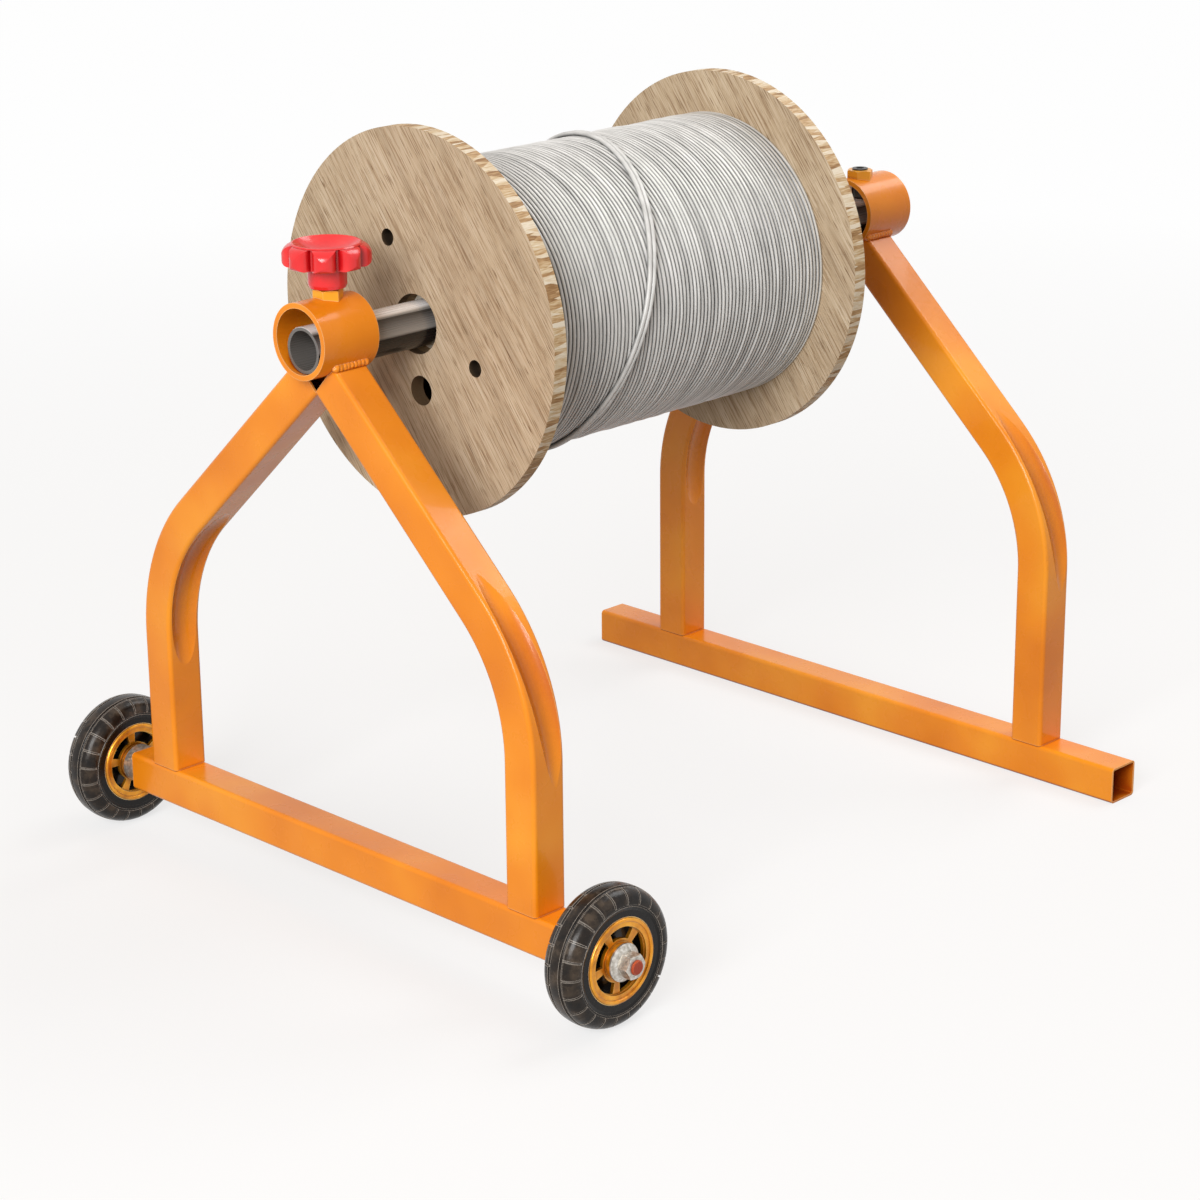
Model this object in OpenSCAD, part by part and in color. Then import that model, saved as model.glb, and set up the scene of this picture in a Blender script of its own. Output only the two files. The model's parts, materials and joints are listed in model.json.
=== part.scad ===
// Wire spool rack: two bent-tube A-frames, one on wheels and one plain,
// joined by a pipe axle that carries a plywood spool of wound wire.
// The axle lies along X, the frames stand across it, and Z = 0 is the floor.
// The origin is on the floor, halfway along the rack and halfway across it.

/* [Frames] */
// Outer width of the square tube that both frames are made of
tube_w = 38; // [34:1:42]
// Wall thickness of the square tube
tube_wall = 2; // [1.5:0.5:3]
// Radius of the square tube's outside corners
tube_corner = 4; // [3:0.5:5]
// Distance between the two frames, middle to middle
frame_span = 728; // [680:1:800]
// Distance from the axle line to the middle of each upright
upright_y = 252; // [235:1:280]
// Angle that each leg is bent through
leg_bend_deg = 47; // [44:1:50]
// Radius of the leg's bend, at the middle of the tube
leg_bend_r = 181; // [160:1:200]
// Height of the collars' middle line above the floor
collar_z = 560; // [540:1:600]
// Half the length of the plain frame's base tube
plain_base_half = 363; // [330:1:400]
// Half the length of the wheeled frame's base tube
wheeled_base_half = 304; // [290:1:310]
// Depth of the crease that the bend leaves in a leg's outer face
outer_crease_depth = 8; // [3:0.5:8]
// Depth of the crease that the bend leaves in a leg's inner face
inner_crease_depth = 7; // [3:0.5:7]

/* [Collars and axle] */
// Outer radius of the collar, a short length of pipe
collar_r = 35; // [33:0.5:37]
// Inner radius of the collar
collar_bore_r = 30; // [28:0.5:31]
// Length of the collar
collar_len = 64; // [58:1:70]
// How far the wheeled frame's collar stands outwards of the frame's middle
wheeled_collar_shift = 4; // [0:1:8]
// How far the plain frame's collar stands outwards of the frame's middle
plain_collar_shift = 9; // [0:1:10]
// How far the axle's ends are set back from the collars' mouths
axle_recess = 5; // [3:1:8]
// Outer radius of the axle pipe
axle_r = 21.2; // [19:0.1:21.2]
// Wall thickness of the axle pipe
axle_wall = 3.2; // [2.5:0.1:4]

/* [Locks] */
// Radius of the lock stud and of the set screw
stud_r = 8; // [6:0.5:8]
// Width across the flats of the welded lock nut
lock_nut_flats = 24; // [22:1:26]
// Height of the welded lock nut
lock_nut_h = 7.5; // [6:0.5:13]
// Radius of the star knob over its lobes
knob_r = 40; // [36:1:44]
// Number of lobes round the star knob
knob_lobes = 8; // [6:1:9]
// Thickness of the star knob's lobes
knob_lobe_h = 19.5; // [15:0.5:22]
// Radius of the star knob's neck
knob_neck_r = 17.5; // [15:0.5:19]
// Height of the star knob's neck
knob_neck_h = 19.5; // [16:0.5:26]
// Radius of the rim round the dished top of the knob
knob_dish_r = 30; // [26:1:31]
// Depth of the dish in the top of the knob
knob_dish_depth = 10; // [4:1:11]

/* [Wheels] */
// Radius of the tyre
wheel_r = 65; // [60:1:70]
// Width of the tyre
tyre_w = 38; // [34:1:42]
// Distance from the axle line to the middle of each wheel
wheel_y = 339; // [335:1:345]
// Radius of the wheel centre where the tyre is seated
rim_r = 40; // [36:1:42]
// Length of the wheel's hub
hub_len = 40; // [36:1:44]
// Number of spokes, and of slots between them
spokes = 5; // [4:1:7]
// Radius of the stub axle where the wheel turns on it
stub_r = 8; // [7:0.5:9]

/* [Spool] */
// Radius of the plywood flanges
flange_r = 180; // [165:1:190]
// Thickness of the plywood flanges
flange_t = 15; // [12:1:18]
// Length of the spool over its flanges
spool_len = 420; // [380:1:430]
// Distance of the spool's middle from the rack's middle, towards the wheels
spool_shift = 39; // [30:1:45]
// Radius of the centre hole in the flanges
arbor_r = 28; // [26:0.5:30]
// Outer radius of the drum that the wire is wound on
drum_r = 100; // [95:1:110]
// Radius of the finished winding
winding_r = 140; // [125:1:150]
// Thickness of the wound wire
wire_d = 4.8; // [4:0.1:5]

/* [Hidden] */
$fn = 96;
eps = 0.01;
fit = 0.05;

// Places along the rack
rack_len = wheel_r + frame_span + plain_collar_shift + collar_len / 2;
wheeled_x = wheel_r - rack_len / 2;
plain_x = wheeled_x + frame_span;
wheeled_collar_x = wheeled_x - wheeled_collar_shift;
plain_collar_x = plain_x + plain_collar_shift;
spool_near_x = -spool_shift - spool_len / 2;
spool_far_x = spool_near_x + spool_len;

// Heights. The axle lies on the bottom of both collars
wheel_z = wheel_r;
axle_z = collar_z - collar_bore_r + axle_r + fit;
cradle_z = collar_z - collar_r / cos(leg_bend_deg);
lock_tip_z = axle_z + axle_r + 0.3;
lock_top_z = collar_z + collar_r + lock_nut_h;
knob_z = lock_top_z + 1.5;
knob_h = knob_neck_h + knob_lobe_h;
slant_y = upright_y - leg_bend_r * (1 - cos(leg_bend_deg));
slant_len = (slant_y - tube_w / 2 * cos(leg_bend_deg)) / sin(leg_bend_deg);
bend_z = cradle_z + tube_w / 2 * sin(leg_bend_deg) - slant_len * cos(leg_bend_deg)
    - leg_bend_r * sin(leg_bend_deg);
// How far a leg's top runs into the collar's outline before it is cut to it
saddle = 1.5;
// The slanting top of a leg is drawn this much fuller than the bend that it laps into
lap_step = 0.02;
lap_len = 1;

// Creases of the bends: radius of the groove, radius and angle of the arc that it follows,
// and how far the outer one turns across the tube, so that it starts near the tube's edge
outer_crease_r = 16;
outer_crease_bend = 315;
outer_crease_deg = 47;
outer_crease_turn = -4;
inner_crease_r = 22;
inner_crease_bend = 125;
inner_crease_deg = 80;

// Wheels
shoulder_r = 12;
shoulder_at_r = wheel_r - 13;
shoulder_at_y = tyre_w / 2 - shoulder_r;
rim_half = 17.5;
bearing_r = 12.5;
hub_inner_y = wheel_y - hub_len / 2;
hub_outer_y = wheel_y + hub_len / 2;
washer_t = 5;
wheel_nut_flats = 21;
wheel_nut_h = 11;
thread_r = 7;
stub_end_y = hub_outer_y + washer_t + wheel_nut_h + 2;
plug_len = 40;

// Spool
core_r = 32;
board_t = 5;
seat = 5;
hub_bush_len = 24;
hub_bush_in = 6;

// Strands that cross over the winding
strand_rings = 36;
strand_sides = 8;
strand_from_deg = 50;
strand_to_deg = 255;
strand_start = 33;
strand_reach = 148;

// Colours
frame_orange = "darkorange";
bright_steel = "silver";
dark_steel = "dimgray";
plywood = "burlywood";

// Helpers

// Square tube section with round corners, centred
module tube_section(w, r) {
    square([w - 2 * r, w], center = true);
    square([w, w - 2 * r], center = true);
    for (sx = [-1, 1], sy = [-1, 1])
        translate([sx * (w / 2 - r), sy * (w / 2 - r)]) circle(r = r);
}

// Turns a shape drawn in X and Y so that it stands in the plane across the axle
module across_axle() {
    rotate([90, 0, 90]) children();
}

// Turns a shape drawn along +Z so that it runs along the axle from x
module along_x(x, z = axle_z) {
    translate([x, 0, z]) rotate([0, 90, 0]) children();
}

module ring(r_out, r_in, h) {
    difference() {
        cylinder(r = r_out, h = h);
        translate([0, 0, -1]) cylinder(r = r_in, h = h + 2);
    }
}

module hex_prism(flats, h) {
    cylinder(r = flats / 2 / cos(30), h = h, $fn = 6);
}

// A hexagonal block whose upper corners are turned off
module hex_block(flats, h) {
    corner = flats / 2 / cos(30);
    chamfer = 1.2;
    intersection() {
        hex_prism(flats, h);
        union() {
            cylinder(r = corner + 1, h = h - chamfer);
            translate([0, 0, h - chamfer])
                cylinder(r1 = corner + 0.2, r2 = corner - 1.8, h = chamfer);
        }
    }
}

module hex_nut(flats, h, bore_r) {
    difference() {
        hex_block(flats, h);
        translate([0, 0, -1]) cylinder(r = bore_r, h = h + 2);
    }
}

// Legs

// Solid leg of the given section, from its foot to the square-cut top
module leg_bar(w, r, foot_z, top_len) {
    translate([upright_y, foot_z, 0]) rotate([-90, 0, 0])
        linear_extrude(bend_z - foot_z) tube_section(w, r);
    translate([upright_y - leg_bend_r, bend_z, 0]) {
        rotate_extrude(angle = leg_bend_deg) translate([leg_bend_r, 0]) tube_section(w, r);
        rotate([0, 0, leg_bend_deg]) translate([leg_bend_r, -lap_len, 0]) rotate([-90, 0, 0])
            linear_extrude(top_len + lap_len) tube_section(w + lap_step, r);
    }
}

// Ring-shaped cutter that runs along a bend and leaves it towards the ends
module crease_cutter(arc_r, arc_deg, turn, mid_r, r) {
    translate([upright_y - leg_bend_r, bend_z, 0]) rotate([0, 0, leg_bend_deg / 2])
        rotate([turn, 0, 0]) translate([mid_r - arc_r, 0, 0]) rotate([0, 0, -arc_deg / 2])
            rotate_extrude(angle = arc_deg) translate([arc_r, 0]) circle(r = r);
}

module creases(wall) {
    crease_cutter(outer_crease_bend, outer_crease_deg, outer_crease_turn,
        leg_bend_r + tube_w / 2 + outer_crease_r - outer_crease_depth, outer_crease_r + wall);
    crease_cutter(inner_crease_bend, inner_crease_deg, 0,
        leg_bend_r - tube_w / 2 - inner_crease_r + inner_crease_depth, inner_crease_r + wall);
}

// What a collar takes up, drawn longer than the collar so that it cuts cleanly
module collar_space(collar_x) {
    along_x(collar_x - collar_len, collar_z) cylinder(r = collar_r, h = 2 * collar_len);
}

// One bent leg on the +Y side, standing on a base whose top is at foot_z
module leg(foot_z, frame_x, collar_x) {
    color(frame_orange) difference() {
        translate([frame_x, 0, 0]) across_axle() difference() {
            leg_bar(tube_w, tube_corner, foot_z, slant_len + saddle);
            creases(0);
            difference() {
                leg_bar(tube_w - 2 * tube_wall, tube_corner - tube_wall,
                    foot_z - 1, slant_len + saddle + 1);
                creases(tube_wall);
            }
        }
        collar_space(collar_x);
        translate([frame_x - tube_w, -2 * tube_w, foot_z]) cube([2 * tube_w, 2 * tube_w, collar_z]);
    }
}

// Bead of overlapping drops along the corner where a leg carries the collar
module collar_weld(frame_x) {
    corner_y = tube_w * cos(leg_bend_deg);
    corner_z = cradle_z + tube_w * sin(leg_bend_deg);
    drops = 9;
    drop_r = 4.2;
    lift = 0.8;
    pitch = (tube_w - drop_r) / (drops - 1);
    first_x = frame_x - (drops - 1) * pitch / 2;
    for (i = [0 : drops - 1])
        translate([first_x + i * pitch, corner_y + lift, corner_z + lift])
            sphere(r = drop_r, $fn = 24);
}

// Both beads of one frame, cut to the collar and to the legs that they lie on
module frame_welds(frame_x, collar_x) {
    color(frame_orange) difference() {
        union() {
            collar_weld(frame_x);
            mirror([0, 1, 0]) collar_weld(frame_x);
        }
        collar_space(collar_x);
        for (side = [0, 1]) mirror([0, side, 0]) translate([frame_x, 0, 0]) across_axle()
            translate([upright_y - leg_bend_r, bend_z, 0])
                rotate([0, 0, leg_bend_deg]) translate([leg_bend_r, 0, 0]) rotate([-90, 0, 0])
                    linear_extrude(slant_len + saddle)
                        tube_section(tube_w + lap_step, tube_corner);
    }
}

// Collars, nuts and locks

// Collar with a hole in its top for the lock, which stands over the frame's middle
module collar(collar_x, frame_x) {
    color(frame_orange) difference() {
        along_x(collar_x - collar_len / 2, collar_z) ring(collar_r, collar_bore_r, collar_len);
        translate([frame_x, 0, collar_z]) cylinder(r = stud_r + 0.5, h = 2 * collar_r);
    }
}

// Lock nut welded on top of a collar, its foot shaped to the collar
module lock_nut(collar_x, frame_x) {
    foot = 4;
    color("orange") difference() {
        translate([frame_x, 0, collar_z + collar_r - foot]) rotate([0, 0, 30])
            hex_nut(lock_nut_flats, lock_nut_h + foot, stud_r + fit);
        collar_space(collar_x);
    }
}

// Screw that reaches down from its head or knob almost to the axle, its tip turned off
module lock_screw(frame_x, len) {
    tip = 2;
    translate([frame_x, 0, lock_tip_z]) {
        cylinder(r1 = stud_r - tip, r2 = stud_r, h = tip);
        translate([0, 0, tip]) cylinder(r = stud_r, h = len - tip);
    }
}

module lock_stud() {
    color(dark_steel) lock_screw(wheeled_x, knob_z + knob_neck_h - lock_tip_z);
}

// Outline that rounds the knob's lobes, more above than below, for a revolve
module knob_outline() {
    low_edge = 5;
    top_edge = 10;
    square([knob_r - top_edge, knob_lobe_h]);
    translate([0, low_edge]) square([knob_r, knob_lobe_h - low_edge - top_edge]);
    translate([knob_r - top_edge, knob_lobe_h - top_edge]) circle(r = top_edge);
    translate([knob_r - low_edge, low_edge]) circle(r = low_edge);
    square([knob_r - low_edge, low_edge]);
}

// Star knob with a dished top, a round neck and a blind socket for the stud
module lock_knob() {
    lobe_r = 10.5;
    valley_r = 5;
    lobe_ring = knob_r - lobe_r;
    dish_ball = (knob_dish_r * knob_dish_r + knob_dish_depth * knob_dish_depth)
        / (2 * knob_dish_depth);
    lip = 1.2;
    foot = 3;
    flare = 3;
    color("crimson") translate([wheeled_x, 0, knob_z]) difference() {
        union() {
            cylinder(r1 = knob_neck_r - 1, r2 = knob_neck_r, h = foot);
            translate([0, 0, foot]) cylinder(r = knob_neck_r, h = knob_neck_h - foot + eps);
            translate([0, 0, knob_neck_h - flare])
                cylinder(r1 = knob_neck_r, r2 = knob_neck_r + flare, h = flare + eps);
            translate([0, 0, knob_neck_h]) intersection() {
                union() {
                    cylinder(r = lobe_ring, h = knob_lobe_h);
                    for (i = [0 : knob_lobes - 1]) rotate([0, 0, i * 360 / knob_lobes])
                        translate([lobe_ring, 0, 0]) cylinder(r = lobe_r, h = knob_lobe_h);
                }
                rotate_extrude() intersection() {
                    knob_outline();
                    square([knob_r + 1, knob_lobe_h]);
                }
            }
            translate([0, 0, knob_h - eps])
                cylinder(r1 = knob_dish_r + 2, r2 = knob_dish_r + 0.8, h = lip);
        }
        for (i = [0 : knob_lobes - 1]) rotate([0, 0, (i + 0.5) * 360 / knob_lobes])
            translate([knob_r + 1, 0, knob_neck_h - 1]) cylinder(r = valley_r, h = knob_lobe_h + 2);
        translate([0, 0, knob_h + lip - knob_dish_depth + dish_ball]) sphere(r = dish_ball);
        translate([0, 0, -1]) cylinder(r = stud_r + fit, h = knob_neck_h + 1);
    }
}

// Set screw that holds the plain frame on the axle, with a hex socket in its upper end
module plain_set_screw() {
    socket_flats = 8;
    socket_h = 9;
    proud = 1.5;
    color(dark_steel) difference() {
        lock_screw(plain_x, lock_top_z + proud - lock_tip_z);
        translate([plain_x, 0, lock_top_z + proud - socket_h]) hex_prism(socket_flats, socket_h + 1);
    }
}

module axle() {
    start = wheeled_collar_x - collar_len / 2 + axle_recess;
    end = plain_collar_x + collar_len / 2 - axle_recess;
    color(bright_steel) along_x(start) ring(axle_r, axle_r - axle_wall, end - start);
}

// Bases

module wheeled_base() {
    color(frame_orange) translate([wheeled_x, wheeled_base_half, wheel_z]) rotate([90, 0, 0])
        linear_extrude(2 * wheeled_base_half) difference() {
            tube_section(tube_w, tube_corner);
            tube_section(tube_w - 2 * tube_wall, tube_corner - tube_wall);
        }
}

module plain_base() {
    color(frame_orange) translate([plain_x, plain_base_half, tube_w / 2]) rotate([90, 0, 0])
        linear_extrude(2 * plain_base_half) difference() {
            tube_section(tube_w, tube_corner);
            tube_section(tube_w - 2 * tube_wall, tube_corner - tube_wall);
        }
}

// Wheel stations: places a part drawn along +Z so that it points outwards at a wheel
module at_wheel(side, from_y) {
    translate([wheeled_x, side * from_y, wheel_z]) rotate([-90 * side, 0, 0]) children();
}

// Plug welded in the end of the base tube, with the stub that carries a wheel
module stub_axle(side) {
    plug_w = tube_w - 2 * tube_wall;
    color("chocolate") at_wheel(side, wheeled_base_half - plug_len) {
        linear_extrude(plug_len) tube_section(plug_w, tube_corner - tube_wall);
        cylinder(r = stub_r, h = hub_outer_y - wheeled_base_half + plug_len);
        cylinder(r = thread_r, h = stub_end_y - wheeled_base_half + plug_len - 1);
        translate([0, 0, stub_end_y - wheeled_base_half + plug_len - 1])
            cylinder(r1 = thread_r, r2 = thread_r - 1, h = 1);
    }
}

module wheel_spacers() {
    spacer_r = 19;
    color(bright_steel) for (side = [-1, 1]) at_wheel(side, wheeled_base_half)
        ring(spacer_r, stub_r, hub_inner_y - wheeled_base_half - 0.3);
}

// Domed washers outside the wheels
module wheel_washers() {
    washer_r = 17.5;
    edge = 1.4;
    dome = washer_t - 0.3 - edge;
    color(bright_steel) for (side = [-1, 1]) at_wheel(side, hub_outer_y + 0.3) difference() {
        union() {
            cylinder(r = washer_r, h = edge);
            translate([0, 0, edge]) cylinder(r1 = washer_r, r2 = washer_r - 5.5, h = dome);
        }
        translate([0, 0, -1]) cylinder(r = thread_r + fit, h = washer_t + 2);
    }
}

module wheel_nuts() {
    color(bright_steel) for (side = [-1, 1]) at_wheel(side, hub_outer_y + washer_t)
        hex_nut(wheel_nut_flats, wheel_nut_h, thread_r + fit);
}

// Section of the tyre for a revolve: X is the radius and Y runs across the tread
module tyre_section() {
    crown_bend = 42;
    crown_half = 9;
    bead_half = 17.5;
    intersection() {
        translate([wheel_r - crown_bend, 0]) circle(r = crown_bend);
        translate([rim_r, -crown_half]) square([wheel_r, 2 * crown_half]);
    }
    for (s = [-1, 1]) translate([shoulder_at_r, s * shoulder_at_y]) circle(r = shoulder_r);
    translate([rim_r, -bead_half]) square([shoulder_at_r - rim_r, 2 * bead_half]);
}

// Upright plate outside the shoulder of the tyre, whose inner edge runs along the shoulder
module tread_cut() {
    cut_w = 1.5;
    cut_depth = 1.6;
    low = 0.5;
    rotate([90, 0, 0]) translate([0, 0, -cut_w / 2]) linear_extrude(cut_w) difference() {
        translate([shoulder_at_r - low, shoulder_at_y]) square([2 * shoulder_r, 2 * shoulder_r]);
        translate([shoulder_at_r, shoulder_at_y]) circle(r = shoulder_r - cut_depth);
    }
}

// Tyre with two grooves round the tread, a line below each shoulder and cuts across them
module tyre(side) {
    cuts = 22;
    groove_r = 1.5;
    line_r = 0.8;
    color("#2b2724") at_wheel(side, wheel_y) difference() {
        rotate_extrude() tyre_section();
        for (s = [0, 1]) mirror([0, 0, s]) {
            rotate_extrude() translate([wheel_r - 0.6, 6.5]) circle(r = groove_r, $fn = 24);
            rotate_extrude() translate([shoulder_at_r - 2, tyre_w / 2]) circle(r = line_r, $fn = 24);
            for (i = [0 : cuts - 1]) rotate([0, 0, (i + s / 2) * 360 / cuts]) tread_cut();
        }
    }
}

// Wheel centre: rim, hub, a solid disc halfway through, and a web behind each face with
// slots between the spokes
module rim(side) {
    band_r = rim_r - 8.5;
    hub_r = 17;
    web_t = 3.5;
    web_in = 2.5;
    disc_t = 6;
    slot_in = 20;
    slot_out = band_r - 0.8;
    slot_deg = 360 / spokes - 17;
    slot_turn = 11;
    bead = 2;
    color("goldenrod") at_wheel(side, wheel_y) difference() {
        rotate_extrude() {
            translate([band_r, -rim_half]) square([rim_r - band_r, 2 * rim_half]);
            translate([bearing_r - 3, -hub_len / 2]) square([hub_r - bearing_r + 3, hub_len]);
            for (y = [-rim_half + web_in, rim_half - web_in - web_t])
                translate([hub_r - 1, y]) square([band_r - hub_r + 2, web_t]);
            translate([hub_r - 1, -disc_t / 2]) square([band_r - hub_r + 2, disc_t]);
            for (y = [-rim_half, rim_half])
                translate([rim_r - bead - 0.4, y]) circle(r = bead, $fn = 24);
        }
        for (i = [0 : spokes - 1], side = [0, 1]) mirror([0, 0, side])
            rotate([0, 0, i * 360 / spokes - slot_deg / 2 + slot_turn])
                rotate_extrude(angle = slot_deg)
                    translate([slot_in, rim_half - web_in - web_t - 2])
                        square([slot_out - slot_in, web_t + 4]);
        translate([0, 0, -hub_len]) cylinder(r = bearing_r, h = 2 * hub_len);
    }
}

// Two bearing bushes pressed in a wheel's hub, which turn on the stub axle
module bearings(side) {
    bearing_len = 11;
    color(bright_steel) for (y = [hub_inner_y, hub_outer_y - bearing_len])
        at_wheel(side, y) ring(bearing_r, stub_r + fit, bearing_len);
}

// Spool

// Plywood disc with the centre hole, two drive holes and the wire's starting hole
module flange_disc() {
    drive_hole_r = 8;
    drive_ring_r = 83;
    start_hole_r = 14;
    start_ring_r = 62;
    difference() {
        cylinder(r = flange_r, h = flange_t);
        translate([0, 0, -1]) cylinder(r = arbor_r, h = flange_t + 2);
        for (a = [65, 200]) rotate([0, 0, a]) translate([drive_ring_r, 0, -1])
            cylinder(r = drive_hole_r, h = flange_t + 2);
        rotate([0, 0, 265]) translate([start_ring_r, 0, -1])
            cylinder(r = start_hole_r, h = flange_t + 2);
    }
}

// A flange with the grooves on its inner face that seat the drum and the core tube.
// The disc is drawn in the plane of Y and Z, as seen from the wheeled end.
module flange(x, inner_side) {
    color(plywood) translate([x, 0, axle_z]) across_axle() difference() {
        flange_disc();
        translate([0, 0, inner_side > 0 ? flange_t - seat : -1]) {
            ring(drum_r, drum_r - board_t, seat + 1);
            ring(core_r, arbor_r, seat + 1);
        }
    }
}

module flange_near() {
    flange(spool_near_x, 1);
}

module flange_far() {
    flange(spool_far_x - flange_t, -1);
}

module drum() {
    color("peru") along_x(spool_near_x + flange_t - seat)
        ring(drum_r, drum_r - board_t, spool_len - 2 * flange_t + 2 * seat);
}

module core_tube() {
    color("tan") along_x(spool_near_x + flange_t - seat)
        ring(core_r, arbor_r, spool_len - 2 * flange_t + 2 * seat);
}

// Bushes inside the core tube that carry the spool on the axle
module hub_bushes() {
    color("ivory") {
        along_x(spool_near_x + flange_t + hub_bush_in)
            ring(arbor_r - fit, axle_r + fit, hub_bush_len);
        along_x(spool_far_x - flange_t - hub_bush_in - hub_bush_len)
            ring(arbor_r - fit, axle_r + fit, hub_bush_len);
    }
}

// The winding, with one rounded rib for each turn of its outer layer
module wound_wire() {
    inside = spool_len - 2 * flange_t;
    turns = floor(inside / wire_d);
    pitch = inside / turns;
    rib = 1.3;
    outline = concat(
        [[drum_r, 0], [winding_r - rib, 0]],
        [for (i = [0 : turns - 1], p = [[0.25, -0.25], [0.5, 0], [0.75, -0.25], [1, -1]])
            [winding_r + rib * p[1], (i + p[0]) * pitch]],
        [[drum_r, inside]]);
    color("gainsboro") along_x(spool_near_x + flange_t) rotate_extrude() polygon(outline);
}

// Point on the middle line of a strand: u runs from 0 to 1 along it. The strand starts beyond
// the spool's middle and swings to and fro on its way towards the near flange.
function strand_angle(u) = strand_from_deg + u * (strand_to_deg - strand_from_deg);
function strand_x(u) = -spool_shift + strand_start
    - strand_reach * (u - 0.05 * sin(180 * u) - 0.045 * sin(360 * u));
function strand_at(u, shift) = let (a = strand_angle(u), r = winding_r + wire_d / 2 + fit)
    [strand_x(u) + shift, r * cos(a), axle_z + r * sin(a)];
function unit(v) = v / norm(v);

// Rings of points round the middle line, then the faces between them
function strand_points(shift) = [for (i = [0 : strand_rings - 1])
    let (u = i / (strand_rings - 1),
        t = unit(strand_at(u + 0.01, shift) - strand_at(u - 0.01, shift)),
        a = strand_angle(u),
        out = [0, cos(a), sin(a)],
        side = unit(cross(t, out)),
        up = cross(side, t))
    for (k = [0 : strand_sides - 1])
        strand_at(u, shift) + wire_d / 2 * (cos(k * 360 / strand_sides) * side
            + sin(k * 360 / strand_sides) * up)];
strand_faces = concat(
    [[for (k = [0 : strand_sides - 1]) k]],
    [for (i = [0 : strand_rings - 2], k = [0 : strand_sides - 1])
        let (a = i * strand_sides, b = a + strand_sides, n = (k + 1) % strand_sides)
        [a + k, b + k, b + n, a + n]],
    [[for (k = [strand_sides - 1 : -1 : 0]) (strand_rings - 1) * strand_sides + k]]);

module crossover_wire() {
    color("lightgray") for (shift = [0, wire_d + 0.3])
        polyhedron(strand_points(shift), strand_faces);
}

// Nodes

module wheeled_leg_front() {
    mirror([0, 1, 0]) leg(wheel_z + tube_w / 2, wheeled_x, wheeled_collar_x);
}

module wheeled_leg_rear() {
    leg(wheel_z + tube_w / 2, wheeled_x, wheeled_collar_x);
}

module plain_leg_front() {
    mirror([0, 1, 0]) leg(tube_w, plain_x, plain_collar_x);
}

module plain_leg_rear() {
    leg(tube_w, plain_x, plain_collar_x);
}

wheeled_base();
wheeled_leg_front();
wheeled_leg_rear();
collar(wheeled_collar_x, wheeled_x);  // wheeled_collar
lock_nut(wheeled_collar_x, wheeled_x);  // wheeled_lock_nut
frame_welds(wheeled_x, wheeled_collar_x);  // wheeled_welds
stub_axle(-1);  // stub_axle_front
stub_axle(1);  // stub_axle_rear
wheel_spacers();
wheel_washers();
wheel_nuts();
tyre(-1);  // tyre_front
rim(-1);  // rim_front
bearings(-1);  // bearings_front
tyre(1);  // tyre_rear
rim(1);  // rim_rear
bearings(1);  // bearings_rear
lock_stud();
lock_knob();
axle();
hub_bushes();
flange_near();
flange_far();
drum();
core_tube();
wound_wire();
crossover_wire();
plain_base();
plain_leg_front();
plain_leg_rear();
collar(plain_collar_x, plain_x);  // plain_collar
lock_nut(plain_collar_x, plain_x);  // plain_lock_nut
plain_set_screw();
frame_welds(plain_x, plain_collar_x);  // plain_welds
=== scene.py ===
"""Looks of the wire spool rack: powder-coated tube frames, rubber wheels, a plywood spool and its wire.

Everything is in metres in the frame of the CAD model: X along the axle, Z up, the floor at Z = 0.
"""

import json
import math

import bpy
from mathutils import Matrix, Vector, noise


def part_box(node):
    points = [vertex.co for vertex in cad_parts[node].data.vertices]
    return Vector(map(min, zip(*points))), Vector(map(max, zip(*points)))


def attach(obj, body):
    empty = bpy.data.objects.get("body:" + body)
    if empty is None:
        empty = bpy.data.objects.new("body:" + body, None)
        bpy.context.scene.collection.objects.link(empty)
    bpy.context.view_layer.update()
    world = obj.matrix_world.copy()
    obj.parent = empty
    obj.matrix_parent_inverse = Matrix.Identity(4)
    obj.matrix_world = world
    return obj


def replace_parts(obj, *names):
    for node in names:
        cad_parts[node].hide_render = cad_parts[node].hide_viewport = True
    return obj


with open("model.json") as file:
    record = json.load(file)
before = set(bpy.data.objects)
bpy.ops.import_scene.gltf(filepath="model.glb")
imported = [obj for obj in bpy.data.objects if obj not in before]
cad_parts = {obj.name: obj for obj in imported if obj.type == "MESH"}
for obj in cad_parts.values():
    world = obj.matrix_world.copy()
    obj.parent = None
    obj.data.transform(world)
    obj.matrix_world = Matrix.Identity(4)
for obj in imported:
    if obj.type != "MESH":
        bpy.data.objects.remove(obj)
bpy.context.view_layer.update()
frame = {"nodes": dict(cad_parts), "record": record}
nodes = frame["nodes"]

MM = 0.001


def middle(node):
    """The middle of a CAD node's box."""
    low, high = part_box(node)
    return Vector([(l + h) / 2 for l, h in zip(low, high)])


AXLE_Z = middle("drum").z

# Camera

VIEW_AZIMUTH = math.radians(-45.0)
VIEW_ELEVATION = math.radians(18.8)
VIEW_ROLL = math.radians(-0.6)
CAMERA_PLACE = Vector((-2.1378, -2.0979, 1.2423))
SENSOR_MM = 36.0
LENS_MM = 95.27
SHIFT = (0.0159, 0.00125)


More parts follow.
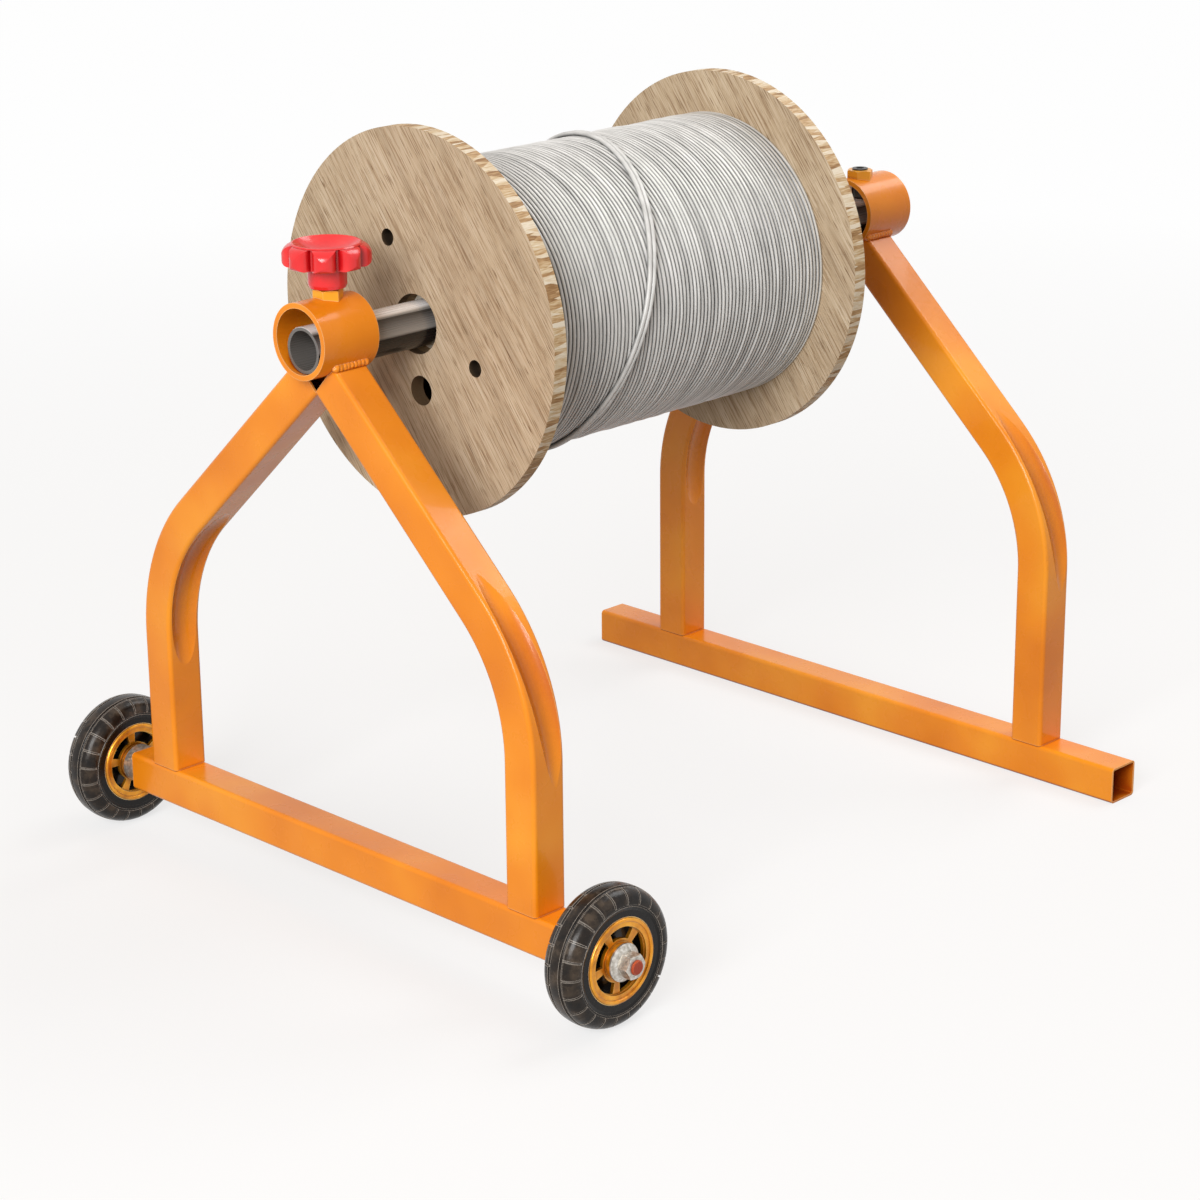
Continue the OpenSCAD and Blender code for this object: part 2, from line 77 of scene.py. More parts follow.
def make_camera():
    """The photograph's viewpoint: a long lens from the front left, a little above the spool."""
    lens = bpy.data.cameras.new("camera")
    lens.sensor_width = SENSOR_MM
    lens.lens = LENS_MM
    lens.shift_x, lens.shift_y = SHIFT
    lens.clip_end = 100
    camera = bpy.data.objects.new("camera", lens)
    bpy.context.scene.collection.objects.link(camera)
    a, e = VIEW_AZIMUTH, VIEW_ELEVATION
    right = Vector((math.cos(a), math.sin(a), 0))
    back = Vector((math.sin(a) * math.cos(e), -math.cos(a) * math.cos(e), math.sin(e)))
    up = back.cross(right)
    c, s = math.cos(VIEW_ROLL), math.sin(VIEW_ROLL)
    right, up = c * right + s * up, c * up - s * right
    camera.matrix_world = Matrix.Translation(CAMERA_PLACE) @ Matrix((right, up, back)).transposed().to_4x4()
    bpy.context.scene.camera = camera


make_camera()

# Materials


def linear(code):
    """A colour written as sRGB hex, as the linear numbers that a shader takes."""
    parts = [int(code[i:i + 2], 16) / 255 for i in (1, 3, 5)]
    return [p / 12.92 if p <= 0.04045 else ((p + 0.055) / 1.055) ** 2.4 for p in parts] + [1.0]


def per_mm(size):
    """Scale of a pattern whose features are size millimetres across, in the part's own metres."""
    return 1 / (size * MM)


def add(tree, kind, sockets=None, stops=None, **settings):
    """Adds one node. settings are its own properties, and sockets its inputs, by name or number: each a
    value, or an output to link. stops, for a ramp, are (place, colour) pairs. Returns its first output in
    use."""
    made = tree.nodes.new(kind)
    for name, value in settings.items():
        setattr(made, name, value)
    for name, value in (sockets or {}).items():
        if isinstance(name, int):
            socket = made.inputs[name]
        else:
            socket = next(s for s in made.inputs if s.enabled and s.name == name)
        if isinstance(value, bpy.types.NodeSocket):
            tree.links.new(value, socket)
        else:
            socket.default_value = value
    if stops:
        ramp = made.color_ramp
        while len(ramp.elements) < len(stops):
            ramp.elements.new(0.5)
        for element, (place, colour) in zip(ramp.elements, stops):
            element.position = place
            element.color = linear(colour)
    return next((s for s in made.outputs if s.enabled), None)


def new_material(name, metallic=0.0, roughness=0.5, **sockets):
    """A material with one shader. Returns it, its node tree, the shader and the place on the surface."""
    material = bpy.data.materials.new(name)
    material.use_nodes = True
    tree = material.node_tree
    shader = tree.nodes["Principled BSDF"]
    shader.inputs["Metallic"].default_value = metallic
    shader.inputs["Roughness"].default_value = roughness
    for socket, value in sockets.items():
        shader.inputs[socket.replace("_", " ")].default_value = value
    place = add(tree, "ShaderNodeTexCoord").node.outputs["Object"]
    return material, tree, shader, place


def sharp_edge(tree, reach):
    """1 along the sharp edges of a piece and 0 on its faces: the mask for a painted highlight. reach is how
    far it reaches in from the edge.
    """
    rounded = add(tree, "ShaderNodeBevel", {"Radius": reach}, samples=8)
    true = add(tree, "ShaderNodeNewGeometry").node.outputs["Normal"]
    apart = add(tree, "ShaderNodeVectorMath", {0: rounded, 1: true}, operation="DOT_PRODUCT")
    apart = apart.node.outputs["Value"]
    return add(tree, "ShaderNodeMapRange", {"Value": apart, "From Min": 0.97, "From Max": 0.82})


def hollow_shade(tree, reach, open_share, closed_share, own=False):
    """0 in the open and 1 deep in a corner or a groove, where little light reaches: the mask for painted
    shade. own leaves out the corners with other pieces."""
    sky = add(tree, "ShaderNodeAmbientOcclusion", {"Distance": reach}, samples=12, only_local=own)
    sky = sky.node.outputs["AO"]
    return add(tree, "ShaderNodeMapRange", {"Value": sky, "From Min": open_share, "From Max": closed_share})


# How far the painted shade reaches into a leg's crease, and into the corner where two pieces meet
CREASE_REACH = 30 * MM
CORNER_REACH = 6 * MM


def powder_coat(name, deep, colour, pale, shade_colour, lump_mm=45, lump_height=0.25 * MM):
    """Polyester powder coat, sprayed and baked: a glossy film with a slight orange-peel ripple. Painted shade
    in its last colour deepens the tone in creases and corners, and a pale painted highlight runs along sharp
    edges.
    The peel is drawn 6 mm wide, several times its real size, so that it shows. lump_mm and lump_height give
    the unevenness of the metal under it."""
    material, tree, shader, place = new_material(name, roughness=0.28, IOR=1.5, Specular_IOR_Level=0.25,
                                                 Coat_Weight=0.2, Coat_Roughness=0.04)
    cloud = add(tree, "ShaderNodeTexNoise", {"Vector": place, "Scale": per_mm(110), "Detail": 2.0})
    tone = add(tree, "ShaderNodeValToRGB", {"Fac": cloud}, stops=[(0.3, deep), (0.5, colour), (0.7, pale)])
    # Painted shade: the tone deepens where little light reaches into a crease or a corner
    crease = hollow_shade(tree, CREASE_REACH, 0.95, 0.76, own=True)
    corner = hollow_shade(tree, CORNER_REACH, 0.75, 0.45)
    painted_shade = add(tree, "ShaderNodeMath", {0: crease, 1: corner}, operation="MAXIMUM")
    painted_shade = add(tree, "ShaderNodeMath", {0: painted_shade, 1: 0.9}, operation="MULTIPLY")
    tone = add(tree, "ShaderNodeMix", {"Factor": painted_shade, "A": tone, "B": linear(shade_colour)}, data_type="RGBA")
    # Painted highlight: a pale line along the sharp edges
    edge_highlight = add(tree, "ShaderNodeMath", {0: sharp_edge(tree, 1.5 * MM), 1: 0.6}, operation="MULTIPLY")
    tone = add(tree, "ShaderNodeMix", {"Factor": edge_highlight, "A": tone, "B": linear("#FFD79A")}, data_type="RGBA")
    tree.links.new(tone, shader.inputs["Base Color"])
    rubbed = add(tree, "ShaderNodeTexNoise", {"Vector": place, "Scale": per_mm(30), "Detail": 4.0})
    shine = add(tree, "ShaderNodeMapRange", {"Value": rubbed, "To Min": 0.16, "To Max": 0.4})
    tree.links.new(shine, shader.inputs["Roughness"])
    peel = add(tree, "ShaderNodeTexNoise", {"Vector": place, "Scale": per_mm(6), "Detail": 1.0})
    under = add(tree, "ShaderNodeTexNoise", {"Vector": place, "Scale": per_mm(lump_mm), "Detail": 1.0})
    ripple = add(tree, "ShaderNodeBump", {"Height": peel, "Distance": 0.03 * MM})
    lumps = add(tree, "ShaderNodeBump", {"Height": under, "Distance": lump_height, "Normal": ripple})
    tree.links.new(lumps, shader.inputs["Normal"])
    return material


def zinc_plate():
    """Bright zinc plate on a pressed washer or a cut nut: softly mottled silver grey, with painted shade in
    the corners and a painted highlight along the cut edges. The mottling is drawn 3 mm wide so that it shows."""
    material, tree, shader, place = new_material("zinc_plated_steel", metallic=0.75, roughness=0.35)
    flecks = add(tree, "ShaderNodeTexNoise", {"Vector": place, "Scale": per_mm(3), "Detail": 4.0})
    tone = add(tree, "ShaderNodeValToRGB", {"Fac": flecks},
               stops=[(0.3, "#A09A90"), (0.5, "#C4BFB6"), (0.68, "#DEDBD5")])
    # Painted shade in the corners
    recess_shade = hollow_shade(tree, 4 * MM, 0.7, 0.3, own=True)
    tone = add(tree, "ShaderNodeMix", {"Factor": recess_shade, "A": tone, "B": linear("#7A7268")}, data_type="RGBA")
    # Painted highlight along the cut edges
    edge = sharp_edge(tree, 0.7 * MM)
    tone = add(tree, "ShaderNodeMix", {"Factor": edge, "A": tone, "B": linear("#EDEBE6")}, data_type="RGBA")
    tree.links.new(tone, shader.inputs["Base Color"])
    shine = add(tree, "ShaderNodeMapRange", {"Value": flecks, "To Min": 0.2, "To Max": 0.5})
    tree.links.new(shine, shader.inputs["Roughness"])
    pits = add(tree, "ShaderNodeBump", {"Height": flecks, "Distance": 0.08 * MM})
    tree.links.new(pits, shader.inputs["Normal"])
    return material


def turned_steel(name, dark, pale, roughness):
    """Bare machined steel under a film of oil: fine tool marks, drawn 1 mm apart so that they show."""
    material, tree, shader, place = new_material(name, metallic=1.0, roughness=roughness)
    film = add(tree, "ShaderNodeTexNoise", {"Vector": place, "Scale": per_mm(7), "Detail": 3.0})
    tone = add(tree, "ShaderNodeValToRGB", {"Fac": film}, stops=[(0.3, dark), (0.7, pale)])
    tree.links.new(tone, shader.inputs["Base Color"])
    shine = add(tree, "ShaderNodeMapRange", {"Value": film, "To Min": roughness - 0.1,
                                             "To Max": roughness + 0.15})
    tree.links.new(shine, shader.inputs["Roughness"])
    marks = add(tree, "ShaderNodeTexNoise", {"Vector": place, "Scale": per_mm(1), "Detail": 2.0})
    cut = add(tree, "ShaderNodeBump", {"Height": marks, "Distance": 0.02 * MM})
    tree.links.new(cut, shader.inputs["Normal"])
    return material


def drawn_pipe():
    """Cold-drawn steel pipe with its dark drawing scale, oiled. Its colour is painted by height round the
    pipe:
    painted shade below, a grey painted reflection half way up, and a painted highlight along the top. Its
    long draw lines are drawn 1.2 mm wide so that they show."""
    material, tree, shader, place = new_material("cold_drawn_steel_pipe", metallic=0.2, roughness=0.3)
    lengthways = add(tree, "ShaderNodeMapping",
                     {"Vector": place, "Scale": (per_mm(90), per_mm(1.2), per_mm(1.2))})
    lines = add(tree, "ShaderNodeTexNoise", {"Vector": lengthways, "Scale": 1.0, "Detail": 2.0})
    low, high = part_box("axle")
    axis_z, outer_r = (low[2] + high[2]) / 2, (high[2] - low[2]) / 2
    up = add(tree, "ShaderNodeSeparateXYZ", {"Vector": place}).node.outputs["Z"]
    up = add(tree, "ShaderNodeMapRange", {"Value": up, "From Min": low[2], "From Max": high[2]})
    drift = add(tree, "ShaderNodeMapRange", {"Value": lines, "To Min": -0.02, "To Max": 0.02})
    up = add(tree, "ShaderNodeMath", {0: up, 1: drift}, operation="ADD")
    # Painted light by height: painted shade low down, a grey painted reflection half way up, a dark band, and
    # a white painted highlight along the top
    tone = add(tree, "ShaderNodeValToRGB", {"Fac": up},
               stops=[(0.3, "#2A2522"), (0.48, "#1A1613"), (0.53, "#9A9793"), (0.72, "#716E6B"),
                      (0.87, "#3B3733"), (0.925, "#D8D5D0"), (0.95, "#FFFFFF")])
    flat = add(tree, "ShaderNodeVectorMath", {0: place, 1: (0, 1, 1)}, operation="MULTIPLY")
    reach = add(tree, "ShaderNodeVectorMath", {0: flat, 1: (0, 0, axis_z)}, operation="DISTANCE")
    reach = reach.node.outputs["Value"]
    outside = add(tree, "ShaderNodeMath", {0: reach, 1: outer_r - 0.3 * MM}, operation="GREATER_THAN")
    tone = add(tree, "ShaderNodeMix", {"Factor": outside, "A": linear("#6E6A66"), "B": tone},
               data_type="RGBA")
    tree.links.new(tone, shader.inputs["Base Color"])
    shine = add(tree, "ShaderNodeMapRange", {"Value": lines, "To Min": 0.2, "To Max": 0.36})
    tree.links.new(shine, shader.inputs["Roughness"])
    drawn = add(tree, "ShaderNodeBump", {"Height": lines, "Distance": 0.006 * MM})
    tree.links.new(drawn, shader.inputs["Normal"])
    return material


# Radius at which the tyre's shoulder ends and the smooth ring next to the wheel centre begins
TREAD_FOOT = 50.5 * MM


def tyre_rubber():
    """Moulded black rubber: floor dust and scuffs grey the tread and the shoulders, and the smooth ring next
    to the wheel centre stays black with a soft shine. Painted shade darkens the grooves, and the sharp edges
    of the cuts are paler, partly with dust in their lips and partly as a painted highlight."""
    material, tree, shader, place = new_material("moulded_tyre_rubber", roughness=0.4, IOR=1.52,
                                                 Specular_IOR_Level=0.24)
    hub = middle("tyre_front")
    cloud = add(tree, "ShaderNodeTexNoise", {"Vector": place, "Scale": per_mm(14), "Detail": 5.0})
    dusty = add(tree, "ShaderNodeValToRGB", {"Fac": cloud},
                stops=[(0.32, "#100D0B"), (0.5, "#231C16"), (0.66, "#463B30")])
    flat = add(tree, "ShaderNodeVectorMath", {0: place, 1: (1, 0, 1)}, operation="MULTIPLY")
    reach = add(tree, "ShaderNodeVectorMath", {0: flat, 1: (hub.x, 0, hub.z)}, operation="DISTANCE")
    tread = add(tree, "ShaderNodeMapRange", {"Value": reach, "From Min": TREAD_FOOT - 0.5 * MM,
                                             "From Max": TREAD_FOOT + 0.5 * MM})
    colour = add(tree, "ShaderNodeMix", {"Factor": tread, "A": linear("#0E0B09"), "B": dusty},
                 data_type="RGBA")
    # Painted shade in the grooves and recesses
    groove_shade = hollow_shade(tree, 5 * MM, 0.8, 0.45)
    colour = add(tree, "ShaderNodeMix", {"Factor": groove_shade, "A": colour, "B": linear("#0C0A09")},
                 data_type="RGBA")
    # Sharp edges paler: partly dust in the lips of the cuts, partly a painted highlight
    edge = sharp_edge(tree, 1.2 * MM)
    colour = add(tree, "ShaderNodeMix", {"Factor": edge, "A": colour, "B": linear("#B3AAA0")},
                 data_type="RGBA")
    tree.links.new(colour, shader.inputs["Base Color"])
    scuffs = add(tree, "ShaderNodeTexNoise", {"Vector": place, "Scale": per_mm(7), "Detail": 3.0})
    shine = add(tree, "ShaderNodeMapRange", {"Value": scuffs, "To Min": 0.1, "To Max": 0.42})
    tree.links.new(shine, shader.inputs["Roughness"])
    pebbles = add(tree, "ShaderNodeTexNoise", {"Vector": place, "Scale": per_mm(1.2), "Detail": 2.0})
    mould = add(tree, "ShaderNodeBump", {"Height": pebbles, "Distance": 0.08 * MM})
    dents = add(tree, "ShaderNodeBump", {"Height": scuffs, "Distance": 0.2 * MM, "Normal": mould})
    tree.links.new(dents, shader.inputs["Normal"])
    return material


# Distance from the middle of a wheel to the hidden side of the web behind each of its faces
WEB_BACK = 11.6 * MM


def gold_enamel():
    """Bronze-gold enamel with metal flake on a cast wheel centre, with a painted highlight on the lip and
    browner painted shade in the recesses. The hollow behind the slots is painted near black, as shade."""
    material, tree, shader, place = new_material("gold_flake_enamel", metallic=0.7, roughness=0.25,
                                                 Coat_Weight=0.4, Coat_Roughness=0.06)
    cloud = add(tree, "ShaderNodeTexNoise", {"Vector": place, "Scale": per_mm(14), "Detail": 3.0})
    tone = add(tree, "ShaderNodeValToRGB", {"Fac": cloud},
               stops=[(0.3, "#B87009"), (0.5, "#E09212"), (0.7, "#F4AC2C")])
    # Painted shade in the recesses
    painted_shade = hollow_shade(tree, 12 * MM, 0.8, 0.4)
    tone = add(tree, "ShaderNodeMix", {"Factor": painted_shade, "A": tone, "B": linear("#5C3206")}, data_type="RGBA")
    # Painted highlight on the lip and edges
    edge = sharp_edge(tree, 0.8 * MM)
    tone = add(tree, "ShaderNodeMix", {"Factor": edge, "A": tone, "B": linear("#FFD06A")}, data_type="RGBA")
    # Painted shade: within WEB_BACK of the wheel's middle, in the hollow behind the slots, the colour is near
    # black
    sideways = add(tree, "ShaderNodeSeparateXYZ", {"Vector": place}).node.outputs["Y"]
    sideways = add(tree, "ShaderNodeMath", {0: sideways}, operation="ABSOLUTE")
    inward = add(tree, "ShaderNodeMath", {0: sideways, 1: middle("rim_rear").y}, operation="SUBTRACT")
    inward = add(tree, "ShaderNodeMath", {0: inward}, operation="ABSOLUTE")
    painted = add(tree, "ShaderNodeMath", {0: inward, 1: WEB_BACK}, operation="GREATER_THAN")
    colour = add(tree, "ShaderNodeMix", {"Factor": painted, "A": linear("#1C140B"), "B": tone},
                 data_type="RGBA")
    tree.links.new(colour, shader.inputs["Base Color"])
    flake = add(tree, "ShaderNodeTexNoise", {"Vector": place, "Scale": per_mm(0.8), "Detail": 1.0})
    shine = add(tree, "ShaderNodeMapRange", {"Value": flake, "To Min": 0.22, "To Max": 0.46})
    tree.links.new(shine, shader.inputs["Roughness"])
    skin = add(tree, "ShaderNodeBump", {"Height": flake, "Distance": 0.02 * MM})
    cast = add(tree, "ShaderNodeBump", {"Height": cloud, "Distance": 0.2 * MM, "Normal": skin})
    tree.links.new(cast, shader.inputs["Normal"])
    return material


def knob_plastic():
    """Injection-moulded ABS in red: smooth and glossy, with faint flow marks and a few rub marks."""
    material, tree, shader, place = new_material("moulded_red_abs", roughness=0.24, IOR=1.53,
                                                 Specular_IOR_Level=0.5)
    flow = add(tree, "ShaderNodeTexNoise", {"Vector": place, "Scale": per_mm(22), "Detail": 2.0})
    tone = add(tree, "ShaderNodeValToRGB", {"Fac": flow},
               stops=[(0.3, "#DE2024"), (0.5, "#E6282A"), (0.7, "#EE3432")])
    # Painted shade: deeper red in the hollows
    painted_shade = hollow_shade(tree, 12 * MM, 0.9, 0.5)
    tone = add(tree, "ShaderNodeMix", {"Factor": painted_shade, "A": tone, "B": linear("#B00A12")}, data_type="RGBA")
    tree.links.new(tone, shader.inputs["Base Color"])
    rubs = add(tree, "ShaderNodeTexNoise", {"Vector": place, "Scale": per_mm(9), "Detail": 5.0})
    shine = add(tree, "ShaderNodeMapRange", {"Value": rubs, "To Min": 0.08, "To Max": 0.3})
    tree.links.new(shine, shader.inputs["Roughness"])
    skin = add(tree, "ShaderNodeBump", {"Height": flow, "Distance": 0.1 * MM})
    tree.links.new(skin, shader.inputs["Normal"])
    return material


def turned_nylon():
    """Turned nylon: off-white and waxy, with rings from the lathe, drawn 1 mm apart so that they show."""
    material, tree, shader, place = new_material("turned_nylon", roughness=0.45, IOR=1.53)
    cloud = add(tree, "ShaderNodeTexNoise", {"Vector": place, "Scale": per_mm(12)})
    tone = add(tree, "ShaderNodeValToRGB", {"Fac": cloud}, stops=[(0.3, "#CFC9B8"), (0.7, "#E2DDCF")])
    tree.links.new(tone, shader.inputs["Base Color"])
    round_it = add(tree, "ShaderNodeMapping",
                   {"Vector": place, "Scale": (per_mm(1), per_mm(30), per_mm(30))})
    rings = add(tree, "ShaderNodeTexNoise", {"Vector": round_it, "Scale": 1.0, "Detail": 1.0})
    cut = add(tree, "ShaderNodeBump", {"Height": rings, "Distance": 0.03 * MM})
    tree.links.new(cut, shader.inputs["Normal"])
    return material


GRAIN_TURN = math.radians(-53)
FLANGE_R = 180 * MM
# Width of the bars of end grain on the sawn edge
EDGE_BAR_MM = 4.2
# Every cut surface nearer to the axle than this is the wall of a hole
HOLES_WITHIN = 170 * MM


def oak_plywood():
    """Oak-faced plywood sawn to a disc. The faces have pale open grain with fine darker streaks and pores,
    and on the sawn edge short bars of end grain stand across the thickness, light and dark by turns. The
    walls of the drilled holes are scorched brown, and painted shade darkens them further in. The streaks are
    drawn 1.3 mm apart and the pores 0.9 mm wide, several times their real size, so that they show."""
    material, tree, shader, place = new_material("oak_faced_plywood", roughness=0.6, IOR=1.5,
                                                 Specular_IOR_Level=0.35)
    turned = add(tree, "ShaderNodeMapping", {"Vector": place, "Rotation": (GRAIN_TURN, 0, 0)})
    bands_at = add(tree, "ShaderNodeMapping",
                   {"Vector": turned, "Scale": (per_mm(16), per_mm(160), per_mm(14))})
    bands = add(tree, "ShaderNodeTexNoise", {"Vector": bands_at, "Scale": 1.0, "Detail": 4.0})
    streaks_at = add(tree, "ShaderNodeMapping",
                     {"Vector": turned, "Scale": (per_mm(3), per_mm(55), per_mm(1.3))})
    streaks = add(tree, "ShaderNodeTexNoise",
                  {"Vector": streaks_at, "Scale": 1.0, "Detail": 3.0, "Roughness": 0.55})
    face = add(tree, "ShaderNodeValToRGB", {"Fac": bands},
               stops=[(0.3, "#B3A087"), (0.5, "#C2AF95"), (0.7, "#CDBCA3")])
    lines = add(tree, "ShaderNodeValToRGB", {"Fac": streaks},
                stops=[(0.36, "#B09A80"), (0.47, "#EBE4D8"), (0.6, "#FFFFFF")])
    faced = add(tree, "ShaderNodeMix", {"Factor": 0.8, "A": face, "B": lines}, data_type="RGBA",
                blend_type="MULTIPLY")

    pores_at = add(tree, "ShaderNodeMapping",
                   {"Vector": turned, "Scale": (per_mm(3), per_mm(22), per_mm(0.9))})
    pores = add(tree, "ShaderNodeTexNoise", {"Vector": pores_at, "Scale": 1.0, "Detail": 1.0})
    pore_tone = add(tree, "ShaderNodeValToRGB", {"Fac": pores},
                    stops=[(0.31, "#9A8264"), (0.37, "#FFFFFF")])
    faced = add(tree, "ShaderNodeMix", {"Factor": 0.85, "A": faced, "B": pore_tone}, data_type="RGBA",
                blend_type="MULTIPLY")

    xyz = add(tree, "ShaderNodeSeparateXYZ", {"Vector": place}).node.outputs
    height = add(tree, "ShaderNodeMath", {0: xyz["Z"], 1: AXLE_Z}, operation="SUBTRACT")
    angle = add(tree, "ShaderNodeMath", {0: height, 1: xyz["Y"]}, operation="ARCTAN2")
    arc = add(tree, "ShaderNodeMath", {0: angle, 1: FLANGE_R * per_mm(EDGE_BAR_MM)}, operation="MULTIPLY")
    across = add(tree, "ShaderNodeMath", {0: xyz["X"], 1: per_mm(40)}, operation="MULTIPLY")
    on_edge = add(tree, "ShaderNodeCombineXYZ", {"X": arc, "Y": across})
    blocks = add(tree, "ShaderNodeTexVoronoi",
                 {"Vector": on_edge, "Scale": 1.0, "Randomness": 0.9}, voronoi_dimensions="2D")
    block_tone = add(tree, "ShaderNodeSeparateColor", {"Color": blocks.node.outputs["Color"]})
    fine = add(tree, "ShaderNodeTexNoise", {"Vector": on_edge, "Scale": 3.4, "Detail": 1.0})
    bar_tone = add(tree, "ShaderNodeMix", {"Factor": 0.5, "A": block_tone, "B": fine}, data_type="FLOAT")
    edge = add(tree, "ShaderNodeValToRGB", {"Fac": bar_tone},
               stops=[(0.22, "#8E6A42"), (0.38, "#B79468"), (0.52, "#D2BC98"), (0.7, "#E4D9C4")])
    facing = add(tree, "ShaderNodeSeparateXYZ",
                 {"Vector": add(tree, "ShaderNodeTexCoord").node.outputs["Normal"]})
    facing = add(tree, "ShaderNodeMath", {0: facing}, operation="ABSOLUTE")
    is_face = add(tree, "ShaderNodeMath", {0: facing, 1: 0.6}, operation="GREATER_THAN")
    colour = add(tree, "ShaderNodeMix", {"Factor": is_face, "A": edge, "B": faced}, data_type="RGBA")
    # Painted shade: the walls of the holes go from scorched brown to near black where little light reaches
    depth = hollow_shade(tree, 25 * MM, 0.75, 0.4, own=True)
    scorch_and_shade = add(tree, "ShaderNodeMix", {"Factor": depth, "A": linear("#6E583F"), "B": linear("#241C14")},
                 data_type="RGBA")
    across_axle = add(tree, "ShaderNodeCombineXYZ", {"X": xyz["Y"], "Y": height})
    reach = add(tree, "ShaderNodeVectorMath", {0: across_axle}, operation="LENGTH").node.outputs["Value"]
    within = add(tree, "ShaderNodeMath", {0: reach, 1: HOLES_WITHIN}, operation="LESS_THAN")
    wall = add(tree, "ShaderNodeMath", {0: within, 1: is_face}, operation="GREATER_THAN")
    colour = add(tree, "ShaderNodeMix", {"Factor": wall, "A": colour, "B": scorch_and_shade}, data_type="RGBA")
    tree.links.new(colour, shader.inputs["Base Color"])
    shine = add(tree, "ShaderNodeMapRange", {"Value": bands, "To Min": 0.45, "To Max": 0.75})
    tree.links.new(shine, shader.inputs["Roughness"])
    open_grain = add(tree, "ShaderNodeBump", {"Height": streaks, "Distance": 0.12 * MM})
    torn = add(tree, "ShaderNodeBump", {"Height": bar_tone, "Distance": 0.35 * MM, "Normal": open_grain})
    tree.links.new(torn, shader.inputs["Normal"])
    return material


def board_tube():
    """Spiral-wound board: brown paper with soft fibres along the tube."""
    material, tree, shader, place = new_material("wound_paper_board", roughness=0.8)
    along = add(tree, "ShaderNodeMapping", {"Vector": place, "Scale": (per_mm(30), per_mm(4), per_mm(4))})
    fibres = add(tree, "ShaderNodeTexNoise", {"Vector": along, "Scale": 1.0, "Detail": 5.0})
    tone = add(tree, "ShaderNodeValToRGB", {"Fac": fibres}, stops=[(0.3, "#8A6E4C"), (0.7, "#A98D67")])
    tree.links.new(tone, shader.inputs["Base Color"])
    nap = add(tree, "ShaderNodeBump", {"Height": fibres, "Distance": 0.2 * MM})
    tree.links.new(nap, shader.inputs["Normal"])
    return material


def wire_sheath():
    """Extruded PVC on fencing wire: pale grey with a satin shine, slightly mottled along each turn, and dark
    where the turns meet, with dust and painted shade."""
    material, tree, shader, place = new_material("extruded_grey_pvc", roughness=0.32, IOR=1.53)
    turns_at = add(tree, "ShaderNodeMapping",
                   {"Vector": place, "Scale": (per_mm(4.8), per_mm(30), per_mm(30))})
    mottle = add(tree, "ShaderNodeTexNoise", {"Vector": turns_at, "Scale": 1.0, "Detail": 4.0})
    tone = add(tree, "ShaderNodeValToRGB", {"Fac": mottle},
               stops=[(0.3, "#D0D1CF"), (0.5, "#E3E4E2"), (0.7, "#F0F1F0")])
    hollow = add(tree, "ShaderNodeAttribute", attribute_name="hollow").node.outputs["Fac"]
    # Dark where the turns meet: dust and painted shade, from the hollow attribute
    colour = add(tree, "ShaderNodeMix", {"Factor": hollow, "A": tone, "B": linear("#0E0C0A")},
                 data_type="RGBA")
    tree.links.new(colour, shader.inputs["Base Color"])
    shine = add(tree, "ShaderNodeMapRange", {"Value": mottle, "To Min": 0.2, "To Max": 0.46})
    tree.links.new(shine, shader.inputs["Roughness"])
    skin = add(tree, "ShaderNodeBump", {"Height": mottle, "Distance": 0.06 * MM})
    tree.links.new(skin, shader.inputs["Normal"])
    return material


# The paint of both frames, from its deepest tone to its palest
FRAME_TONES = ("#E3800F", "#F08E18", "#F9A026")

SURFACES = {
    # The last colour given to each powder coat is its painted shade
    "frame_paint": powder_coat("orange_powder_coat", *FRAME_TONES, "#A03604"),
    "nut_paint": powder_coat("amber_powder_coat", "#E89A18", "#F2A824", "#F8B838", "#C87A10"),
    "stub_paint": powder_coat("rust_red_paint", "#7A2408", "#B43C12", "#DA6026", "#3C1408"),
    "zinc": zinc_plate(),
    "bearing_steel": turned_steel("ground_bearing_steel", "#84827E", "#A9A7A2", 0.3),
    "dark_steel": turned_steel("oiled_dark_steel", "#3C3B3A", "#5A5856", 0.35),
    "axle_steel": drawn_pipe(),
    "bush_plastic": turned_nylon(),
    "tyre_rubber": tyre_rubber(),
    "rim_paint": gold_enamel(),
    "knob_plastic": knob_plastic(),
    "plywood": oak_plywood(),
    "drum_board": board_tube(),
    "wire_sheath": wire_sheath(),
}

# The same paint over the ripples of a weld bead, with its own colour of painted shade
weld_paint = powder_coat("orange_powder_coat_on_weld", *FRAME_TONES, "#B44C0A", 5, 2.5 * MM)

for part in frame["record"]["subparts"]:
    cad_node = nodes[part["node"]]
    if not cad_node.material_slots:
        cad_node.data.materials.append(None)
    for slot in cad_node.material_slots:
        slot.link = "OBJECT"
        slot.material = weld_paint if part["node"].endswith("_welds") else SURFACES[part["material_slot"]]

# Winding

WIRE_D = 4.8 * MM
DRUM_R = 100 * MM
WINDING_R = 140 * MM
# Places across one turn, from the hollow before it, with the share of dust and painted shade at each
TURN_STEPS = ((0.0, 1.0), (0.07, 0.95), (0.16, 0.5), (0.28, 0.06),
              (0.5, 0.0), (0.72, 0.06), (0.84, 0.5), (0.93, 0.95))
# Steps round the spool
ROUND_STEPS = 144
# The turns next to the near flange have slackened: how far they hang, and how far along that reaches
SLACK = 5 * MM
SLACK_LENGTH = 45 * MM
# The winding's waves are noise, with so many steps to a metre along the axle, and read round it on a circle
# of so many steps. Long and short waves push the turns along the axle, and other ones lift them. The short
# and the lifting ones are so many times denser than the long ones.
WAVES_ALONG, WAVES_ROUND = 26, 1.3
LONG_PUSH, SHORT_PUSH, LIFT = 1.6 * MM, 0.6 * MM, 0.6 * MM
SHORT_TIMES, LIFT_TIMES = 2.7, 1.9
